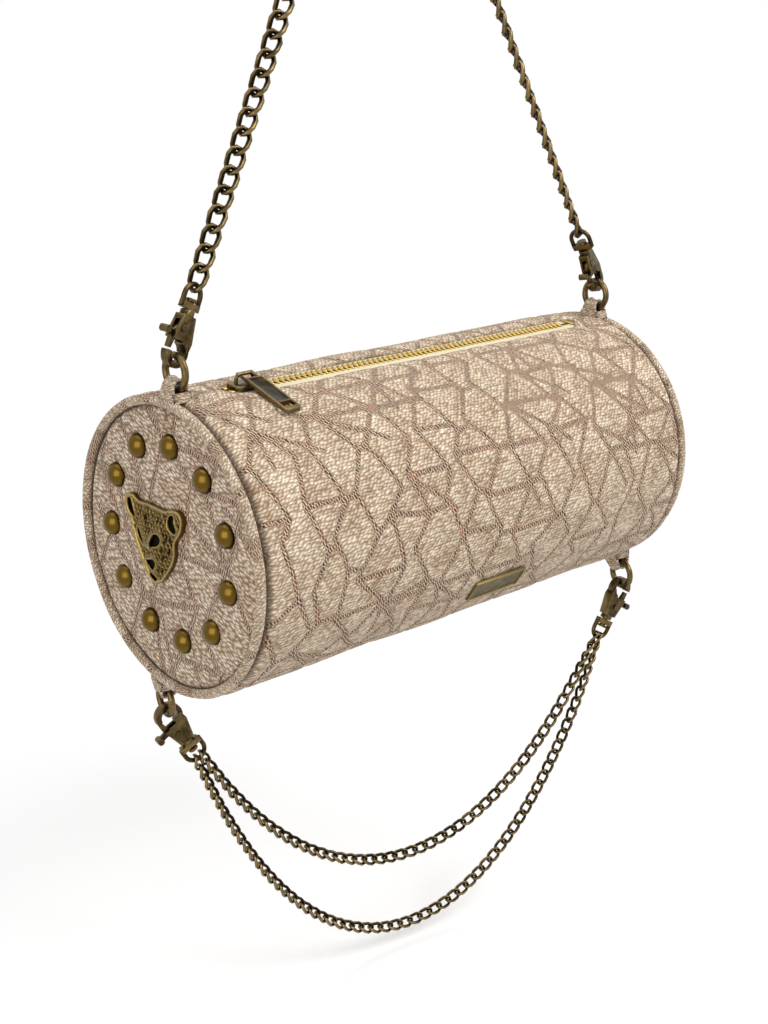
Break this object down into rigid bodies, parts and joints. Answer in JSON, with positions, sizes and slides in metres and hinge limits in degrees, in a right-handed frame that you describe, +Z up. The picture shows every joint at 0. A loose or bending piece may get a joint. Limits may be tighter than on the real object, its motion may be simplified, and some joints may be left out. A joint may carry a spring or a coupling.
{
  "type": "barrel bag with chain strap",
  "caption": "Woven cylindrical handbag hung from a curb chain strap on swivel clasps, with a zipped top, a studded end and two chain swags under the barrel.",
  "frame": {"origin": "top of the bight of the chain strap, on the middle line of its links", "axes": "+X along the barrel from the studded end to the plain end, -Y to the front with the plate, +Z up"},
  "size_m": [0.2273, 0.11, 0.4581],
  "materials": {
    "woven_fabric": "chunky cream weave with brown lines",
    "board": "pressed fibre stiffener",
    "lining_cloth": "plain lining",
    "tape_cloth": "cream zip tape",
    "gold_brass": "bright brass teeth",
    "antique_brass": "antique brass, darkened in the hollows"
  },
  "bodies": {
    "strap": {"strap_chain": "antique_brass", "strap_left_hook": "antique_brass", "strap_left_rivet": "antique_brass", "strap_right_hook": "antique_brass", "strap_right_rivet": "antique_brass"},
    "swag": {"upper_swag_chain": "antique_brass", "lower_swag_chain": "antique_brass", "swag_left_hook": "antique_brass", "swag_left_rivet": "antique_brass", "swag_right_hook": "antique_brass", "swag_right_rivet": "antique_brass"},
    "zip_slider": {"zip_slider": "antique_brass"},
    "pull_tag": {"pull_tag": "antique_brass"},
    "strap_left_eye": {"strap_left_eye": "antique_brass"},
    "strap_left_lever": {"strap_left_lever": "antique_brass"},
    "strap_right_eye": {"strap_right_eye": "antique_brass"},
    "strap_right_lever": {"strap_right_lever": "antique_brass"},
    "swag_left_eye": {"swag_left_eye": "antique_brass"},
    "swag_left_lever": {"swag_left_lever": "antique_brass"},
    "swag_right_eye": {"swag_right_eye": "antique_brass"},
    "swag_right_lever": {"swag_right_lever": "antique_brass"},
    "upper_left_ring": {"upper_left_ring": "antique_brass"},
    "upper_right_ring": {"upper_right_ring": "antique_brass"},
    "lower_left_ring": {"lower_left_ring": "antique_brass"},
    "lower_right_ring": {"lower_right_ring": "antique_brass"},
    "bag": {"body_panel": "woven_fabric", "stiffener": "board", "lining": "lining_cloth", "left_end_panel": "woven_fabric", "left_end_board": "board", "right_end_panel": "woven_fabric", "right_end_board": "board", "left_piping": "woven_fabric", "right_piping": "woven_fabric", "dome_studs": "antique_brass", "stud_backs": "antique_brass", "cat_ornament": "antique_brass", "name_plate": "antique_brass", "front_zip_tape": "tape_cloth", "rear_zip_tape": "tape_cloth", "front_zip_teeth": "gold_brass", "rear_zip_teeth": "gold_brass", "zip_stops": "gold_brass", "upper_left_tab": "woven_fabric", "lower_left_tab": "woven_fabric", "upper_right_tab": "woven_fabric", "lower_right_tab": "woven_fabric"}
  },
  "joints": [
    {"name": "bag_swing", "type": "hinge", "parent": "strap", "child": "bag", "pos_m": [-0.108, -0.01347, -0.19263], "axis": [1, 0, 0], "range_deg": [-70, 70]},
    {"name": "swag_swing", "type": "hinge", "parent": "bag", "child": "swag", "pos_m": [-0.108, 0.00256, -0.31866], "axis": [0.9847, -0.1729, 0.0228], "range_deg": [-55, 55]},
    {"name": "strap_left_swivel", "type": "hinge", "parent": "strap", "child": "strap_left_eye", "pos_m": [-0.10082, -0.01208, -0.17268], "axis": [0.4502, 0.0623, 0.8908], "range_deg": [-15, 15]},
    {"name": "strap_left_lever_press", "type": "hinge", "parent": "strap", "child": "strap_left_lever", "pos_m": [-0.10488, -0.01277, -0.17812], "axis": [0.2311, -0.9717, -0.0489], "range_deg": [0, 16], "stiffness_Nm_per_rad": 0.0005, "springref_deg": -28.65},
    {"name": "strap_right_swivel", "type": "hinge", "parent": "strap", "child": "strap_right_eye", "pos_m": [0.10082, -0.01208, -0.17268], "axis": [-0.4502, 0.0623, 0.8908], "range_deg": [-15, 15]},
    {"name": "strap_right_lever_press", "type": "hinge", "parent": "strap", "child": "strap_right_lever", "pos_m": [0.10281, -0.01284, -0.17916], "axis": [0.2311, -0.9554, 0.1836], "range_deg": [0, 16], "stiffness_Nm_per_rad": 0.0005, "springref_deg": -28.65},
    {"name": "swag_left_swivel", "type": "hinge", "parent": "swag", "child": "swag_left_eye", "pos_m": [-0.09982, 0.00113, -0.33861], "axis": [0.4973, -0.0873, -0.8632], "range_deg": [-3, 3]},
    {"name": "swag_left_lever_press", "type": "hinge", "parent": "swag", "child": "swag_left_lever", "pos_m": [-0.10418, 0.00189, -0.33343], "axis": [0.1729, 0.9849, 0], "range_deg": [0, 16], "stiffness_Nm_per_rad": 0.0005, "springref_deg": -28.65},
    {"name": "swag_right_swivel", "type": "hinge", "parent": "swag", "child": "swag_right_eye", "pos_m": [0.09998, -0.03395, -0.33371], "axis": [-0.4876, 0.0856, -0.8689], "range_deg": [-3, 3]},
    {"name": "swag_right_lever_press", "type": "hinge", "parent": "swag", "child": "swag_right_lever", "pos_m": [0.10428, -0.0347, -0.32848], "axis": [-0.1729, -0.9849, 0], "range_deg": [0, 16], "stiffness_Nm_per_rad": 0.0005, "springref_deg": -28.65},
    {"name": "upper_left_ring_turn", "type": "hinge", "parent": "bag", "child": "upper_left_ring", "pos_m": [-0.108, -0.01347, -0.19263], "axis": [1, 0, 0], "continuous": true},
    {"name": "upper_right_ring_turn", "type": "hinge", "parent": "bag", "child": "upper_right_ring", "pos_m": [0.108, -0.01347, -0.19263], "axis": [1, 0, 0], "continuous": true},
    {"name": "lower_left_ring_turn", "type": "hinge", "parent": "bag", "child": "lower_left_ring", "pos_m": [-0.108, 0.00256, -0.31866], "axis": [0.9847, -0.1729, 0.0228], "continuous": true},
    {"name": "lower_right_ring_turn", "type": "hinge", "parent": "bag", "child": "lower_right_ring", "pos_m": [0.108, -0.03536, -0.31367], "axis": [0.9847, -0.1729, 0.0228], "continuous": true},
    {"name": "zip_slide", "type": "slide", "parent": "bag", "child": "zip_slider", "axis": [1, 0, 0], "range_m": [0, 0.162], "deforming": ["front_zip_teeth", "rear_zip_teeth"]},
    {"name": "pull_tag_lift", "type": "hinge", "parent": "zip_slider", "child": "pull_tag", "pos_m": [-0.0771, -0.01307, -0.19769], "axis": [-1, 0, 0], "range_deg": [0, 42]}
  ]
}
